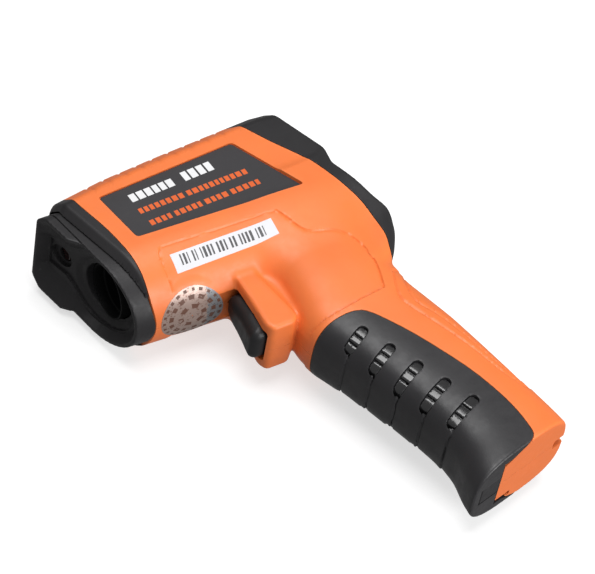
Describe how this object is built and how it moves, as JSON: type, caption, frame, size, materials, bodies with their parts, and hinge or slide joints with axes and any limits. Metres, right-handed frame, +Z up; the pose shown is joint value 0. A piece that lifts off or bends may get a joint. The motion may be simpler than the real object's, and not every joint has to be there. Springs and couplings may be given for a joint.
{
  "type": "infrared thermometer",
  "caption": "Pistol-form infrared thermometer with hooded lens, sprung trigger, rear display and keys, and a hinged battery door that forms the front of the grip.",
  "frame": {"origin": "bottom centre of the box of the instrument laid on its right side", "axes": "+X from the lens end to the display end, +Y from the handle's base to the top of the barrel, +Z up, from the instrument's right side to its left side; it measures towards -X"},
  "size_m": [0.1158, 0.1588, 0.0396],
  "materials": {
    "orange_housing": "fine textured moulding",
    "black_housing": "fine textured moulding",
    "soft_grip": "satin, polished steps in the finger slots",
    "trigger_plastic": "satin",
    "lens_tube": "flat black",
    "lens": "dark polished filter",
    "laser_glass": "dark polished",
    "display_window": "clear polished",
    "display_panel": "grey green liquid crystal",
    "white_plastic": "satin",
    "key_rubber": "matt",
    "steel": "plain",
    "brass": "turned",
    "circuit_board": "solder resist",
    "chip": "moulded",
    "battery_can": "lacquered",
    "label_film": "printed film",
    "sticker_paper": "blank white film",
    "sticker_foil": "blank foil disc"
  },
  "bodies": {
    "root": {"battery": "battery_can", "battery_snap": "chip", "buzzer": "chip", "case_screw_1": "steel", "case_screw_2": "steel", "case_screw_3": "steel", "case_screw_4": "steel", "door_hinge_pin": "steel", "front_collar": "black_housing", "front_cowl": "black_housing", "ir_lens": "lens", "key_board": "circuit_board", "label_left": "label_film", "label_right": "label_film", "laser_module": "brass", "laser_window": "laser_glass", "lcd_backlight": "white_plastic", "lcd_module": "display_panel", "lcd_window": "display_window", "lens_retaining_ring": "lens_tube", "lens_tube": "lens_tube", "main_board": "circuit_board", "processor_chip": "chip", "rear_bezel": "black_housing", "sensor_holder": "white_plastic", "shell_left": "orange_housing", "shell_right": "orange_housing", "thermopile_sensor": "steel", "trigger_bracket": "black_housing", "trigger_spring": "steel", "trigger_switch": "chip"},
    "trigger": {"trigger": "trigger_plastic"},
    "plunger": {"switch_plunger": "white_plastic"},
    "door": {"battery_door": "soft_grip"},
    "key_up": {"button_up": "key_rubber"},
    "key_down": {"button_down": "key_rubber"},
    "key_mode": {"button_mode": "key_rubber"}
  },
  "joints": [
    {"name": "trigger_slide", "type": "slide", "parent": "root", "child": "trigger", "axis": [1, 0, 0], "range_m": [0, 0.004], "stiffness_N_per_m": 600, "deforming": ["trigger_spring"]},
    {"name": "plunger_slide", "type": "slide", "parent": "root", "child": "plunger", "axis": [1, 0, 0], "range_m": [0, 0.001]},
    {"name": "door_hinge", "type": "hinge", "parent": "root", "child": "door", "pos_m": [0.02261, -0.07459, 0.0198], "axis": [0, 0, 1], "range_deg": [0, 75]},
    {"name": "key_up_press", "type": "slide", "parent": "root", "child": "key_up", "axis": [-0.9443, -0.3291, 0], "range_m": [0, 0.0008], "stiffness_N_per_m": 800},
    {"name": "key_down_press", "type": "slide", "parent": "root", "child": "key_down", "axis": [-0.9443, -0.3291, 0], "range_m": [0, 0.0008], "stiffness_N_per_m": 800},
    {"name": "key_mode_press", "type": "slide", "parent": "root", "child": "key_mode", "axis": [-0.9443, -0.3291, 0], "range_m": [0, 0.0008], "stiffness_N_per_m": 800}
  ],
  "couplings": [
    {"joint": "plunger_slide", "follows": "trigger_slide", "ratio": 0.25}
  ]
}
